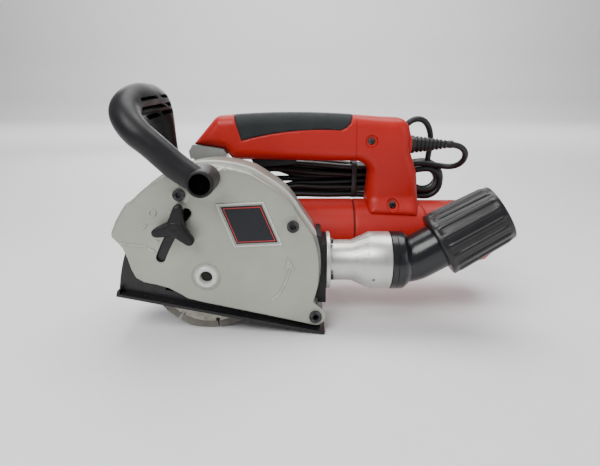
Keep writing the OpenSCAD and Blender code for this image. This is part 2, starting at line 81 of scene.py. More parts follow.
disc_lo, disc_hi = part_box("near_disc")
SPINDLE_X = (disc_lo[0] + disc_hi[0]) / 2
SPINDLE_Z = (disc_lo[2] + disc_hi[2]) / 2
COVER_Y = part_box("guard_cover")[0][1] + MM


def at(x, y, z):
    return Vector((SPINDLE_X + x * MM, COVER_Y + y * MM, SPINDLE_Z + z * MM))


# ---------------------------------------------------------------- camera
lens = bpy.data.cameras.new("camera")
lens.lens = 29.4
lens.sensor_width = 36
lens.clip_start = 0.01
camera = bpy.data.objects.new("camera", lens)
camera.location = at(94, -459, 184)
camera.rotation_euler = (math.radians(90 - 16.9), 0, 0)
camera.data.shift_y = 0.002
bpy.context.scene.collection.objects.link(camera)
bpy.context.scene.camera = camera


# ---------------------------------------------------------------- shapes shared with the part
def arc(c, r, a0, a1, n):
    return [(c[0] + r * math.cos(math.radians(a0 + (a1 - a0) * i / n)),
             c[1] + r * math.sin(math.radians(a0 + (a1 - a0) * i / n))) for i in range(n + 1)]


PIVOT = (110, -43.8)            # the shoe's pin; a pair of numbers is (x, z)
GUARD_MID, GUARD_R = (8.65, 6.2), 105
GUARD_TOP = ([(110.5, -31)] + arc(GUARD_MID, GUARD_R, -19, 20, 24)
             + [(93.3, 62.5), (88.3, 71), (82.8, 78.2), (77, 83.8), (70, 89.5), (60.5, 95.8)]
             + arc(GUARD_MID, GUARD_R, 68, 138, 38)
             + [(-74.3, 74.6), (-79.6, 67.5), (-86.5, 56.5), (-92, 44.5), (-91.9, 42.8)])
GUARD_LOW = [(-90.3, 40.4), (-84.8, 34.5), (-81.6, 29.6), (-77.9, 19.4), (-74.7, 6.8), (-71, -1.7), (-63.4, -6.5),
             (-51.8, -8.9), (-38.7, -12.9), (-28.8, -18.6), (-20, -24.3), (-5.5, -28.3), (54, -41.6)]
GUARD = arc(PIVOT, 10.5, -110, 50, 16) + GUARD_TOP + GUARD_LOW
MOTOR_Y, MOTOR_Z = 111, 15
HANDLE = ([(-25.5, 121), (8.5, 115.5)] + arc((24, 117), 14, 232, 270, 6) + arc((158, 86), 15, 90, 10, 10)
          + [(171, 62)] + arc((177, 47), 6, 180, 250, 6)
          + [(230, 38), (231, 60), (228, 88), (219.5, 112), (219, 131)] + arc((202, 133.5), 16, 5, 80, 10)
          + arc((87, -795), 950, 84.2, 94.8, 16) + arc((6.5, 140.4), 11.2, 92, 135, 6))
GRIP_EDGE = ([(21, 160), (21, 150.5), (29, 124.6)] + arc((118, -200.8), 337.7, 104.9, 86.4, 24)
             + [(146, 139.5), (150, 144), (152, 150.8), (154, 160)])
GRIP = GRIP_EDGE + [(154, 190), (21, 190)]


def from_pivot(r, a):
    return (PIVOT[0] - r * math.cos(math.radians(a)), PIVOT[1] + r * math.sin(math.radians(a)))


SLOT_R, SLOT_HALF = 167, 4.7    # the depth slot's radius about the pin, and half its width
SLOT_ENDS = (22.4, 41)          # degrees round the pin
STUD = from_pivot(SLOT_R, 36)
BARREL = (6, 101)               # the front handle's near foot
COVER_SCREWS = {"front": (-21.4, 84.1), "rear": (87.2, 52.7)}
HANDLE_SCREWS = {"upper": ((174, 124.2), 95), "lower": ((200, 52.8), 88.5)}    # place, and depth of the head
CORD_EXIT_Z = 119
HANK_Y = 145


# ---------------------------------------------------------------- materials
def finish(name, base, rough, metal=0.0, grain=900, bump=0.12, mottle=0.12, spread=0.12, stretch=(1, 1, 1),
           wear=None, wear_at=(0.53, 0.6), dust=None, coat=0.0, specular=0.5):
    """A surface with mottled colour, uneven roughness, fine grain, worn edges and a little dust."""
    mat = bpy.data.materials.new(name)
    mat.use_nodes = True
    tree = mat.node_tree
    out = tree.nodes["Principled BSDF"]

    def add(kind, **values):
        node = tree.nodes.new(kind)
        for key, value in values.items():
            setattr(node, key, value)
        return node

    def textured(scale, detail, roughness=0.6):
        tex = add("ShaderNodeTexNoise")
        tex.inputs["Scale"].default_value = scale
        tex.inputs["Detail"].default_value = detail
        tex.inputs["Roughness"].default_value = roughness
        tree.links.new(place.outputs["Vector"], tex.inputs["Vector"])
        return tex.outputs["Fac"]

    def ranged(source, lo, hi, to_lo, to_hi):
        node = add("ShaderNodeMapRange")
        for key, value in (("From Min", lo), ("From Max", hi), ("To Min", to_lo), ("To Max", to_hi)):
            node.inputs[key].default_value = value
        tree.links.new(source, node.inputs["Value"])
        return node.outputs["Result"]

    def mixed(factor, a, b):
        node = add("ShaderNodeMix", data_type="RGBA")
        tree.links.new(factor, node.inputs["Factor"])
        for socket, value in ((node.inputs[6], a), (node.inputs[7], b)):
            if isinstance(value, tuple):
                socket.default_value = (*value, 1)
            else:
                tree.links.new(value, socket)
        return node.outputs[2]

    coords = add("ShaderNodeTexCoord")
    place = add("ShaderNodeMapping")
    place.inputs["Scale"].default_value = stretch
    tree.links.new(coords.outputs["Object"], place.inputs["Vector"])
    dark = tuple(c * (1 - mottle) for c in base)
    light = tuple(min(1, c * (1 + mottle)) for c in base)
    colour = mixed(ranged(textured(28, 4), 0.35, 0.65, 0, 1), dark, light)
    rough_out = ranged(textured(75, 5), 0.3, 0.7, max(0.03, rough - spread), min(1, rough + spread))
    if dust:
        geo = add("ShaderNodeNewGeometry")
        up = add("ShaderNodeSeparateXYZ")
        tree.links.new(geo.outputs["Normal"], up.inputs["Vector"])
        lying = ranged(up.outputs["Z"], 0.3, 1, 0, 1)
        patchy = ranged(textured(60, 6), 0.45, 0.8, 0, dust[1])
        both = add("ShaderNodeMath", operation="MULTIPLY")
        tree.links.new(lying, both.inputs[0])
        tree.links.new(patchy, both.inputs[1])
        colour = mixed(both.outputs[0], colour, dust[0])
    if wear:
        edges = add("ShaderNodeNewGeometry")
        worn = ranged(edges.outputs["Pointiness"], wear_at[0], wear_at[1], 0, 1)
        broken = ranged(textured(220, 6), 0.42, 0.62, 0, 0.85)
        both = add("ShaderNodeMath", operation="MULTIPLY")
        tree.links.new(worn, both.inputs[0])
        tree.links.new(broken, both.inputs[1])
        colour = mixed(both.outputs[0], colour, wear)
    tree.links.new(colour, out.inputs["Base Color"])
    tree.links.new(rough_out, out.inputs["Roughness"])
    bumps = add("ShaderNodeBump")
    bumps.inputs["Strength"].default_value = bump
    bumps.inputs["Distance"].default_value = 0.0006
    tree.links.new(textured(grain, 3, 0.5), bumps.inputs["Height"])
    tree.links.new(bumps.outputs["Normal"], out.inputs["Normal"])
    out.inputs["Metallic"].default_value = metal
    out.inputs["Coat Weight"].default_value = coat
    out.inputs["Coat Roughness"].default_value = 0.2
    out.inputs["Specular IOR Level"].default_value = specular
    return mat


MATERIALS = {
    "cast_silver": finish("silver paint", (0.36, 0.365, 0.315), 0.36, metal=0.4, grain=650, bump=0.22, mottle=0.05,
                          spread=0.07, wear=(0.7, 0.7, 0.67), coat=0.1),
    "gearbox_alloy": finish("gearbox alloy", (0.42, 0.43, 0.42), 0.4, metal=0.7, grain=800, bump=0.14, mottle=0.06),
    "bright_steel": finish("bright steel", (0.62, 0.62, 0.62), 0.25, metal=1.0, grain=1500, bump=0.05, mottle=0.06),
    "black_screw": finish("black oxide", (0.025, 0.025, 0.027), 0.38, metal=0.6, grain=1200, bump=0.1, mottle=0.2,
                          wear=(0.25, 0.25, 0.25)),
    "label": finish("label film", (0.009, 0.01, 0.014), 0.25, grain=1500, bump=0.03, mottle=0.1, spread=0.05,
                    specular=0.3),
    "red_plastic": finish("red plastic", (0.45, 0.011, 0.007), 0.42, grain=1500, bump=0.16, mottle=0.06, spread=0.07,
                          specular=0.35),
    "grip_rubber": finish("grip rubber", (0.022, 0.026, 0.027), 0.66, grain=1900, bump=0.3, mottle=0.1, spread=0.08,
                          specular=0.25),
    "black_plastic": finish("black plastic", (0.009, 0.009, 0.01), 0.42, grain=1300, bump=0.14, mottle=0.12,
                            spread=0.08, specular=0.3),
    "black_coated_steel": finish("black coating", (0.01, 0.01, 0.011), 0.3, grain=700, bump=0.08, mottle=0.12,
                                 spread=0.08, dust=((0.16, 0.15, 0.14), 0.06), specular=0.4),
    "port_aluminium": finish("port aluminium", (0.56, 0.56, 0.53), 0.36, metal=0.8, grain=900, bump=0.06,
                             mottle=0.04, spread=0.06, stretch=(3, 1, 1)),
    "disc_steel": finish("disc steel", (0.3, 0.285, 0.24), 0.42, metal=0.8, grain=1200, bump=0.12, mottle=0.12,
                         wear=(0.6, 0.58, 0.52)),
    "gear_steel": finish("gear steel", (0.3, 0.3, 0.32), 0.3, metal=0.95, grain=1100, bump=0.08, mottle=0.12),
    "laminated_iron": finish("laminations", (0.14, 0.125, 0.12), 0.55, metal=0.7, grain=160, bump=0.5, mottle=0.12,
                             stretch=(14, 1, 1)),
    "copper": finish("copper", (0.55, 0.26, 0.14), 0.35, metal=0.95, grain=160, bump=0.3, mottle=0.14,
                     stretch=(1, 10, 10)),
    "brass_parts": finish("brass", (0.6, 0.42, 0.16), 0.35, metal=0.95, grain=900, bump=0.08),
    "cord_rubber": finish("cord rubber", (0.008, 0.008, 0.009), 0.42, grain=900, bump=0.14, mottle=0.15,
                          spread=0.08),
    "tie_plastic": finish("tie plastic", (0.03, 0.03, 0.032), 0.5, grain=900, bump=0.1),
}
RED_LINE = finish("red line", (0.5, 0.02, 0.02), 0.3, grain=1500, bump=0.03, mottle=0.04)
SEGMENT = finish("diamond segment", (0.2, 0.19, 0.165), 0.62, metal=0.55, grain=2600, bump=0.9, mottle=0.2)
# near black with almost no shine: painted shade for the front handle's bore, the screws in it and the deep pockets
# of the far bend
PAINTED_BORE_SHADE = finish("bore shade", (0.0012, 0.0012, 0.0013), 0.8, grain=900, bump=0.1, specular=0.03)
# a lighter copy of the silver paint: painted highlight on the seam flanges, the label frame and the cover bush
HIGHLIGHT_SILVER = finish("painted highlight silver", (0.62, 0.62, 0.59), 0.42, metal=0.35, grain=650, bump=0.05, mottle=0.04)
CUFF_BLACK = finish("cuff black", (0.009, 0.009, 0.01), 0.32, grain=900, bump=0.08, mottle=0.1, spread=0.07,
                    specular=0.45)
GLOSS_BLACK = finish("glossy black", (0.008, 0.009, 0.011), 0.22, grain=700, bump=0.05, mottle=0.1, spread=0.07,
                     specular=0.5)
PIN_BRASS = finish("pin brass", (0.62, 0.5, 0.25), 0.28, metal=1.0, grain=900, bump=0.05)


# ---------------------------------------------------------------- piece builders
def shown(name, mesh, body, slot, nodes=(), material=None, smooth=32):
    """A new piece from a mesh: shaded smooth but for its sharp edges, riding on its body."""
    obj = bpy.data.objects.new(name, mesh)
    bpy.context.scene.collection.objects.link(obj)
    mesh.polygons.foreach_set("use_smooth", [True] * len(mesh.polygons))
    mesh.set_sharp_from_angle(angle=math.radians(smooth))
    mesh.materials.append(material or MATERIALS[slot])
    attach(obj, body)
    if nodes:
        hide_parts(*nodes)
    return obj


def built(name, verts, faces, body, slot, nodes=(), facing=None, **more):
    """A piece from points in mm and faces. facing: the way an open skin looks, else a closed solid."""
    mesh = bpy.data.meshes.new(name)
    mesh.from_pydata([at(*v) for v in verts], [], faces)
    work = bmesh.new()
    work.from_mesh(mesh)
    bmesh.ops.remove_doubles(work, verts=work.verts, dist=1e-6)
    bmesh.ops.recalc_face_normals(work, faces=work.faces)
    if facing and sum(f.normal.dot(Vector(facing)) * f.calc_area() for f in work.faces) < 0:
        bmesh.ops.reverse_faces(work, faces=work.faces)
    work.to_mesh(mesh)
    work.free()
    return shown(name, mesh, body, slot, nodes, **more)


def softened(node, width, slot, segments=2, angle=30, **more):
    """The CAD node's own shape with its hard edges rounded off."""
    cad = frame["nodes"][node]
    mesh = bpy.data.meshes.new(node)
    mesh.from_pydata([v.co[:] for v in cad.data.vertices], [], [p.vertices[:] for p in cad.data.polygons])
    work = bmesh.new()
    work.from_mesh(mesh)
    bmesh.ops.remove_doubles(work, verts=work.verts, dist=2e-6)
    bmesh.ops.dissolve_limit(work, angle_limit=math.radians(0.6), verts=work.verts, edges=work.edges)
    bmesh.ops.recalc_face_normals(work, faces=work.faces)
    work.to_mesh(mesh)
    work.free()
    obj = shown(node + ".look", mesh, cad["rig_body"], slot, (node,), smooth=angle, **more)
    bevel = obj.modifiers.new("edges", "BEVEL")
    bevel.width = width * MM
    bevel.segments = segments
    bevel.limit_method = "ANGLE"
    bevel.angle_limit = math.radians(angle)
    bevel.harden_normals = True
    bevel.miter_outer = "MITER_ARC"
    return obj


def dense(line, step, closed=True):
    line = [tuple(p) for p in line]
    ends = line[1:] + line[:1] if closed else line[1:]
    out = []
    for a, b in zip(line, ends):
        n = max(1, math.ceil(math.dist(a, b) / step))
        out += [tuple(np.add(a, np.subtract(b, a) * i / n)) for i in range(n)]
    return out if closed else out + [line[-1]]


def inside(points, loop):
    p, a = np.asarray(points), np.asarray(loop)
    b = np.roll(a, -1, axis=0)
    x, z = p[:, 0][:, None], p[:, 1][:, None]
    cross = (a[:, 1] > z) != (b[:, 1] > z)
    with np.errstate(divide="ignore", invalid="ignore"):
        hit = x < (b[:, 0] - a[:, 0]) * (z - a[:, 1]) / (b[:, 1] - a[:, 1]) + a[:, 0]
    return (cross & hit).sum(axis=1) % 2 == 1


def away(points, line, closed=True):
    """Each point's distance from a line."""
    p, a = np.asarray(points, float), np.asarray(line, float)
    b = np.roll(a, -1, axis=0)
    if not closed:
        a, b = a[:-1], b[:-1]
    best = np.full(len(p), 1e9)
    for start in range(0, len(p), 2000):
        q = p[start:start + 2000, None, :]
        ab = b - a
        t = np.clip(((q - a) * ab).sum(2) / np.maximum((ab ** 2).sum(1), 1e-12), 0, 1)
        best[start:start + 2000] = np.sqrt(((q - a - t[:, :, None] * ab) ** 2).sum(2)).min(1)
    return best


def rounded(d, r):
    """How far a rounded edge of radius r has dropped at the distance d from the side."""
    d = np.clip(d, 0, r)
    return r - np.sqrt(np.maximum(r * r - (r - d) ** 2, 0))


def grown(loop, by):
    a = np.asarray(loop, float)
    t = np.roll(a, -1, axis=0) - np.roll(a, 1, axis=0)
    t /= np.maximum(np.linalg.norm(t, axis=1), 1e-9)[:, None]
    area = np.sum(a[:, 0] * np.roll(a[:, 1], -1) - np.roll(a[:, 0], -1) * a[:, 1])
    side = np.stack([t[:, 1], -t[:, 0]], axis=1) * (1 if area > 0 else -1)
    return a + side * by


def skin(outline, face_y, open_y, radius, round_line=None, soft_line=None, holes=(), raised=(), step=2.6, split=None,
         edge=0.8, walled=lambda p: True, wall_to=None, flare=None):
    """One side of a casting: its face, the rounded outer edge and the wall behind that edge.
    raised: (loop, height, slope) for embossed or sunk shapes. Returns the points, triangles and wall quads."""
    sign = 1 if open_y > face_y else -1
    loop = dense(outline, 2.0)
    round_line = round_line or outline
    loops = [loop] + [dense(h, 1.6) for h in holes]
    for shape, _, slope in raised:
        fine = dense(shape, 1.2)
        loops += [fine, grown(fine, slope)]
    points, edges = [], []
    for one in loops:
        first = len(points)
        points += [tuple(p) for p in one]
        edges += [(first + i, first + (i + 1) % len(one)) for i in range(len(one))]
    if split:
        line = dense(split, 1.6, closed=False)
        first = len(points)
        points += line
        edges += [(first + i, first + i + 1) for i in range(len(line) - 1)]
    fill = []
    for k in range(1, 8):
        depth = radius * (1 - math.cos(math.radians(k * 90 / 7)))
        fill += [tuple(p) for p in grown(loop, -depth)]
    for depth in (0.3 * edge, edge):
        for h in holes:
            fill += [tuple(p) for p in grown(dense(h, 1.6), depth)]
    lo, hi = np.min(loop, axis=0), np.max(loop, axis=0)
    rows = np.arange(lo[1], hi[1], step * 0.87)
    grid = np.array([(x + (step / 2 if j % 2 else 0), z)
                     for j, z in enumerate(rows) for x in np.arange(lo[0], hi[0], step)])
    fill = np.vstack([fill, grid[away(grid, round_line, round_line is outline) > radius + 0.5]])
    keep = inside(fill, outline) & (away(fill, outline) > 0.25)
    for h in holes:
        keep &= ~inside(fill, h) & (away(fill, h) > 0.15)
    for shape, _, slope in raised:
        keep &= away(fill, shape) > max(slope * 1.4, 0.7)
    if split:
        keep &= away(fill, split, False) > 0.8
    points += [tuple(p) for p in fill[keep]]
    verts, _, tris, _, _, _ = geometry.delaunay_2d_cdt([Vector(p) for p in points], edges, [], 0, 1e-4)
    flat = np.array([v[:] for v in verts])
    tris = np.array([t for t in tris if len(t) == 3])
    middles = flat[tris].mean(axis=1)
    keep = inside(middles, outline)
    for h in holes:
        keep &= ~inside(middles, h)
    tris = tris[keep]
    drop = rounded(away(flat, round_line, round_line is outline or round_line[0] == round_line[-1]), radius)
    if soft_line:
        drop = np.maximum(drop, rounded(away(flat, soft_line, False), edge))
    for h in holes:
        drop = np.maximum(drop, rounded(away(flat, h), edge))
    for shape, height, slope in raised:
        d = np.where(inside(flat, shape), 0, away(flat, shape))
        t = np.clip(1 - d / slope, 0, 1)
        drop -= height * t * t * (3 - 2 * t)
    if split:
        drop += np.where(away(flat, split, False) < 0.05, 0.4, 0)
    if flare:
        drop -= flare(flat)
    solid = [(x, face_y + sign * d, z) for (x, z), d in zip(flat, drop)]
    rim = open_edges(tris)
    mids = np.array([(flat[a] + flat[b]) / 2 for a, b in rim])
    on_edge = away(mids, outline) < 0.05
    quads, back = [], {}
    for (a, b), ok in zip(rim, on_edge):
        if not (ok and walled(flat[a]) and walled(flat[b])):
            continue
        for v in (a, b):
            if v not in back:
                end = wall_to(flat[v]) if wall_to else open_y
                row = [v]
                for k in (1, 2, 3):
                    row.append(len(solid))
                    y0 = solid[v][1]
                    solid.append((flat[v][0], y0 + (end - y0) * k / 3, flat[v][1]))
                back[v] = row
        for k in range(3):
            quads.append((back[a][k], back[b][k], back[b][k + 1], back[a][k + 1]))
    return solid, tris, quads, middles[keep]


def solidified(obj, wall):
    thick = obj.modifiers.new("wall", "SOLIDIFY")
    thick.thickness = wall * MM
    thick.offset = -1
    return obj


def open_edges(tris):
    """The edges that only one triangle uses."""
    count = {}
    for t in tris:
        for i in range(3):
            key = tuple(sorted((t[i], t[(i + 1) % 3])))
            count[key] = count.get(key, 0) + 1
    return [key for key, n in count.items() if n == 1]


def subset(solid, faces):
    """Only the points that these faces use."""
    used = sorted({v for f in faces for v in f})
    new = {v: i for i, v in enumerate(used)}
    return [solid[v] for v in used], [tuple(new[v] for v in f) for f in faces]


def slab(name, loop, y0, y1, edge, body, slot, nodes=(), holes=(), step=4, **more):
    """A flat plate in the plane of the guard with its front edges rounded. y0 is its face."""
    solid, tris, quads, _ = skin(loop, y0, y1, edge, holes=holes, step=step, edge=edge)
    n = len(solid)
    back = [(x, y1, z) for x, _, z in solid]
    sides = [(a, b, b + n, a + n) for a, b in open_edges(tris)]
    faces = [tuple(t) for t in tris] + sides + [tuple(v + n for v in t[::-1]) for t in tris]
    verts, faces = subset(solid + back, faces)
    return built(name, verts, faces, body, slot, nodes, **more)


def turned(name, profile, axis, centre, body, slot, nodes=(), around=96, ribs=None, direction=None, **more):
    """A turned solid. profile: (along, radius) pairs, or (along, radius, rib) where ribs(angle) * rib is added.
    axis x: along x through (y, z) centre. axis y: along y through (x, z) centre. Or along direction from centre."""
    rows = []
    for item in profile:
        along, radius = item[0], item[1]
        amount = item[2] if len(item) > 2 else 0
        row = []
        for k in range(around):
            a = 2 * math.pi * k / around
            r = max(radius + (amount * ribs(a) if ribs and amount else 0), 0.0)
            c, s = r * math.cos(a), r * math.sin(a)
            if axis == "x":
                row.append((along, centre[0] + c, centre[1] + s))
            elif axis == "y":
                row.append((centre[0] + c, along, centre[1] + s))
            else:
                d = Vector(direction).normalized()
                u = d.cross(Vector((0, 1, 0))).normalized()
                w = d.cross(u)
                row.append(tuple(Vector(centre) + d * along + u * c + w * s))
        rows.append(row)
    return tubed(name, rows, body, slot, nodes, loop=True, **more)


def tubed(name, rows, body, slot, nodes=(), loop=False, **more):
    """A solid from rows of points round it; loop joins the last row to the first, else both ends are capped."""
    n = len(rows[0])
    verts = [v for row in rows for v in row]
    faces = []
    pairs = list(zip(range(len(rows) - 1), range(1, len(rows))))
    if loop:
        pairs.append((len(rows) - 1, 0))
    for a, b in pairs:
        faces += [(a * n + k, a * n + (k + 1) % n, b * n + (k + 1) % n, b * n + k) for k in range(n)]
    if not loop:
        faces += [tuple(range(n))[::-1], tuple((len(rows) - 1) * n + k for k in range(n))]
    return built(name, verts, faces, body, slot, nodes, **more)


def through(points, per):
    """A smooth line through points of any size, with per steps between neighbours."""
    p = np.asarray(points, float)
    p = np.vstack([2 * p[0] - p[1], p, 2 * p[-1] - p[-2]])
    out = []
    for i in range(1, len(p) - 2):
        for k in range(per):
            t = k / per
            out.append(0.5 * (2 * p[i] + (p[i + 1] - p[i - 1]) * t
                              + (2 * p[i - 1] - 5 * p[i] + 4 * p[i + 1] - p[i + 2]) * t ** 2
                              + (3 * p[i] - p[i - 1] - 3 * p[i + 1] + p[i + 2]) * t ** 3))
    return np.array(out + [p[-2]])


# ---------------------------------------------------------------- cord, hank and plug
CORD = 7.0
TIE_X = ((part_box("hank_tie")[0][0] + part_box("hank_tie")[1][0]) / 2 - SPINDLE_X) / MM
# for each lane: how far its outer and inner strands run above and below the middle, and its shift
SPREAD = [(19, 9, 0), (16, 4.5, 1.5), (13.5, 7, -1.5), (17.5, 3, 0.5)]
HANK_Z, HANK_X0, HANK_X1 = 73.5, 59.5, 248.5
lead = [(262, MOTOR_Y, CORD_EXIT_Z), (270, MOTOR_Y, CORD_EXIT_Z), (277, 111.2, 118), (283.5, 112, 115),
        (288, 114, 109.5), (289, 117, 102.5), (286.5, 121.5, 95.5), (281, 127, 90.5), (274, 132, 88.2),
        (264, 135, 90.5), (252, 135.2, 93.6)]
bight = [(249, 144, 94.5), (251, 142.5, 103), (252, 140, 112), (251.5, 138, 122), (250, 136, 131), (247, 135, 140),
         (241, 134.5, 146.5), (233, 134.5, 148.5), (225, 134.5, 145.5), (218.5, 135, 139), (214, 136, 131),
         (211, 138, 122), (209, 140, 113), (206.5, 142, 104), (201, 142, 97)]


def strand(x, lane, level):
    """Where a strand of the hank runs, from +1 at the top of the bundle to -1 at the bottom. The tie draws it in."""
    pinch = math.exp(-((x - TIE_X) / 34) ** 2)
    ends = min(1, max(0, 1 - min(x - HANK_X0, HANK_X1 - x) / 34))
    ends = ends * ends * (3 - 2 * ends)
    outer, inner, shift = (np.interp(lane, range(4), [row[k] for row in SPREAD]) for k in range(3))
    y = HANK_Y + (lane - 1.5) * (6.6 - 0.75 * pinch)
    wave = noise.noise(Vector((x / 46, lane * 3.1, level * 5.3)))
    run = level * ends + math.copysign(outer if abs(level) > 17 else inner, level) * (1 - ends)
    run += (shift + 2.2 * math.sin(x / 37 + lane * 1.7)) * (1 - ends)
    z = HANK_Z + run * (1 - 0.12 * pinch) + 1.3 * wave * (1 - pinch) * (1 - ends)
    return x, y + 0.5 * noise.noise(Vector((x / 31 + 9, lane, level))) * (1 - pinch), z


def turn(lane, level, next_lane, next_level, top=None):
    """Once round the hank: forward along the top, round, back along the bottom, round and over to the next lane."""
    xs = np.linspace(HANK_X1, HANK_X0, 40)
    line = [strand(x, lane, level) for x in xs] if top is None else top
    for a in np.linspace(97, 263, 15):
        x, y, _ = strand(HANK_X0, lane, level)
        line.append((HANK_X0 + level * math.cos(math.radians(a)), y, HANK_Z + level * math.sin(math.radians(a))))
    line += [strand(x, lane, -level) for x in xs[::-1]]
    for a in np.linspace(-83, 83, 15):
        t = (a + 83) / 166
        t = t * t * (3 - 2 * t)
        r, mid = level + (next_level - level) * t, lane + (next_lane - lane) * t
        _, y, _ = strand(HANK_X1, mid, r)
        line.append((HANK_X1 + r * math.cos(math.radians(a)), y, HANK_Z + r * math.sin(math.radians(a))))
    return line


OUTER, INNER = 20.6, 13.4
order = [(0, OUTER), (0, INNER), (1, INNER), (1, OUTER), (2, OUTER), (2, INNER), (3, OUTER), (3, INNER)]
route = list(lead)
for i, (lane, level) in enumerate(order[:-1]):
    top = None
    if i == 0:
        top = [strand(x, 0, OUTER) for x in np.linspace(240, HANK_X0, 38)]
    if i == 3:
        top = bight + [strand(x, lane, level) for x in np.linspace(188, HANK_X0, 28)]
    route += turn(lane, level, *order[i + 1], top=top)
for x in np.linspace(HANK_X1, 36, 44):
    t = min(1, max(0, (236 - x) / 150))
    t = t * t * (3 - 2 * t)
    a, b = Vector(strand(x, 3, INNER)), Vector((x, HANK_Y, HANK_Z))
    route.append(tuple(a.lerp(b, t)))
smooth = np.array(route)
for _ in range(2):
    smooth[1:-1] = smooth[1:-1] * 0.5 + (smooth[:-2] + smooth[2:]) * 0.25
smooth = through(smooth, 3)
gaps = np.linalg.norm(np.diff(smooth, axis=0), axis=1)
along = np.concatenate([[0], np.cumsum(gaps)])
marks = np.linspace(0, along[-1], int(along[-1] / 3.5))
even = np.stack([np.interp(marks, along, smooth[:, k]) for k in range(3)], axis=1)
curve = bpy.data.curves.new("mains_cord", "CURVE")
curve.dimensions = "3D"
curve.bevel_depth = CORD / 2 * MM
curve.bevel_resolution = 5
curve.use_fill_caps = True
line = curve.splines.new("POLY")
line.points.add(len(even) - 1)
for point, place in zip(line.points, even):
    point.co = (*at(*place), 1)
cord = bpy.data.objects.new("mains_cord", curve)
bpy.context.scene.collection.objects.link(cord)
curve.materials.append(MATERIALS["cord_rubber"])
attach(cord, "frame")
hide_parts("cord_lead", "cord_loop", "cord_hank")

relief_profile = [(205, 3.6), (205, 5.8), (213.5, 5.8), (221, 6), (221, 10), (223.5, 10.2)]
for k in range(9):
    x = 225 + 4.6 * k
    r = 9.7 - 5.1 * (k / 8) ** 1.15
    relief_profile += [(x, r + 0.1), (x + 0.7, r - 1.2 if k < 8 else r - 0.5),
                       (x + 2, r - 1.25 if k < 8 else r - 0.5), (x + 2.8, r - 0.2)]
relief_profile += [(268, 4.5), (270, 4.3), (270, 3.6)]
relief = turned("cord_boot", relief_profile, "x", (MOTOR_Y, CORD_EXIT_Z), "frame", "cord_rubber",
                ("strain_relief",), around=48)
plug_axis = (-1, 0, 0)
plug_at = (35, HANK_Y, HANK_Z)
plug_boot = turned("plug_boot", [(-1, 3.6), (-1, 5.2), (0, 6), (3, 6), (3.4, 5.2), (5, 5.2), (5.4, 6.6), (8, 7),
                                 (8.4, 6), (10, 6), (10.4, 8.2), (14, 10.5), (18, 12.5), (24, 13), (25, 13.5),
                                 (25, 3.6)],
                   "d", plug_at, "frame", "cord_rubber", (), around=48, direction=plug_axis)
plug = turned("plug_body", [(25, 0.1), (25, 14.6), (27, 17.4), (29, 18.4), (40, 18.4), (45.5, 18.1), (47.6, 16.8),
                            (48, 15.2), (47.8, 0.1)],
              "d", plug_at, "frame", "cord_rubber", ("plug",), around=72, direction=plug_axis,
              ribs=lambda a: 0.5 * math.cos(12 * a))
for s in (-9.5, 9.5):
    turned("plug_pin." + ("a" if s < 0 else "b"),
                       [(47.4, 0.1), (47.4, 2.4), (64.5, 2.4), (66.2, 1.8), (67, 0.8), (67, 0.1)], "d",
                       (plug_at[0], HANK_Y, HANK_Z + s), "frame", "cord_rubber", (), around=24, direction=plug_axis,
                       material=PIN_BRASS)

tie_rows = []
tie_line = []
for a in np.linspace(0, 360, 72, endpoint=False):
    c, s = math.cos(math.radians(a)), math.sin(math.radians(a))
    r = (abs(c / 12.9) ** 4 + abs(s / 21.7) ** 4) ** -0.25
    tie_line.append((c, s, r))
for dx, dr in ((-3, 0), (-3, 1.3), (-2.4, 1.6), (2.4, 1.6), (3, 1.3), (3, 0)):
    tie_rows.append([(TIE_X + dx, HANK_Y + (r + dr) * c, HANK_Z + (r + dr) * s) for c, s, r in tie_line])
tie = tubed("hank_strap", tie_rows, "frame", "tie_plastic", ("hank_tie",), loop=True)


# ---------------------------------------------------------------- guard
def spot(centre, r, n=28):
    return arc(centre, r, 0, 360 - 360 / n, n - 1)


def ribbon(line, width):
    """A closed loop round a line, width across."""
    p = np.asarray(dense(line, 2, closed=False))
    t = np.gradient(p, axis=0)
    t /= np.linalg.norm(t, axis=1)[:, None]
    side = np.stack([-t[:, 1], t[:, 0]], axis=1) * width / 2
    return [tuple(v) for v in p + side] + [tuple(v) for v in (p - side)[::-1]]


def slot_end(end, side, angles):
    """The half circle at one end of the depth slot."""
    return [from_pivot(SLOT_R + SLOT_HALF * math.cos(math.radians(b)),
                       end + side * math.degrees(SLOT_HALF * math.sin(math.radians(b)) / SLOT_R)) for b in angles]


first, last = SLOT_ENDS
slot_hole = ([from_pivot(SLOT_R - SLOT_HALF, a) for a in np.linspace(first, last, 14)]
             + slot_end(last, 1, np.linspace(180, 0, 9)[1:-1])
             + [from_pivot(SLOT_R + SLOT_HALF, a) for a in np.linspace(last, first, 14)]
             + slot_end(first, -1, np.linspace(0, 180, 9)[1:-1]))
arrow_loop = ribbon(through([(66, -25.5), (72.5, -18.5), (77.5, -10), (81, -1), (84, 8.5)], 4), 1.8)
arrow_tip = [(79.5, 8.6), (88.6, 6.6), (86.2, 13.2), (81.8, 20.6), (80.4, 14)]
ticks = []
for a in (24, 27.5, 31, 34.5, 38):
    ticks.append((ribbon([from_pivot(174.5, a), from_pivot(181 if a in (24, 31, 38) else 178, a)], 1.5), 1.1, 0.4))
raised = [(arrow_loop, 0.9, 0.45), (arrow_tip, 0.9, 0.45)] + ticks + [
    (ribbon(arc((0, 0), 14.2, 0, 358, 60), 0.9), -0.5, 0.4), (spot(BARREL, 16.5, 40), 1.0, 4.5),
    *[(spot(place, 8), 0.9, 1.2) for place in COVER_SCREWS.values()], (spot(PIVOT, 8), 0.5, 0.8),
    (ribbon([(-82.5, 35.3), (-70, 33.2), (-57, 32)], 1.5), 1.0, 0.5),
    (ribbon(arc((-49, 66), 3.4, 0, 350, 16), 1.3), 0.9, 0.4),
    (ribbon([(-61, 49.5), (-58, 51), (-55.5, 54.5)], 1.6), 0.9, 0.4)]


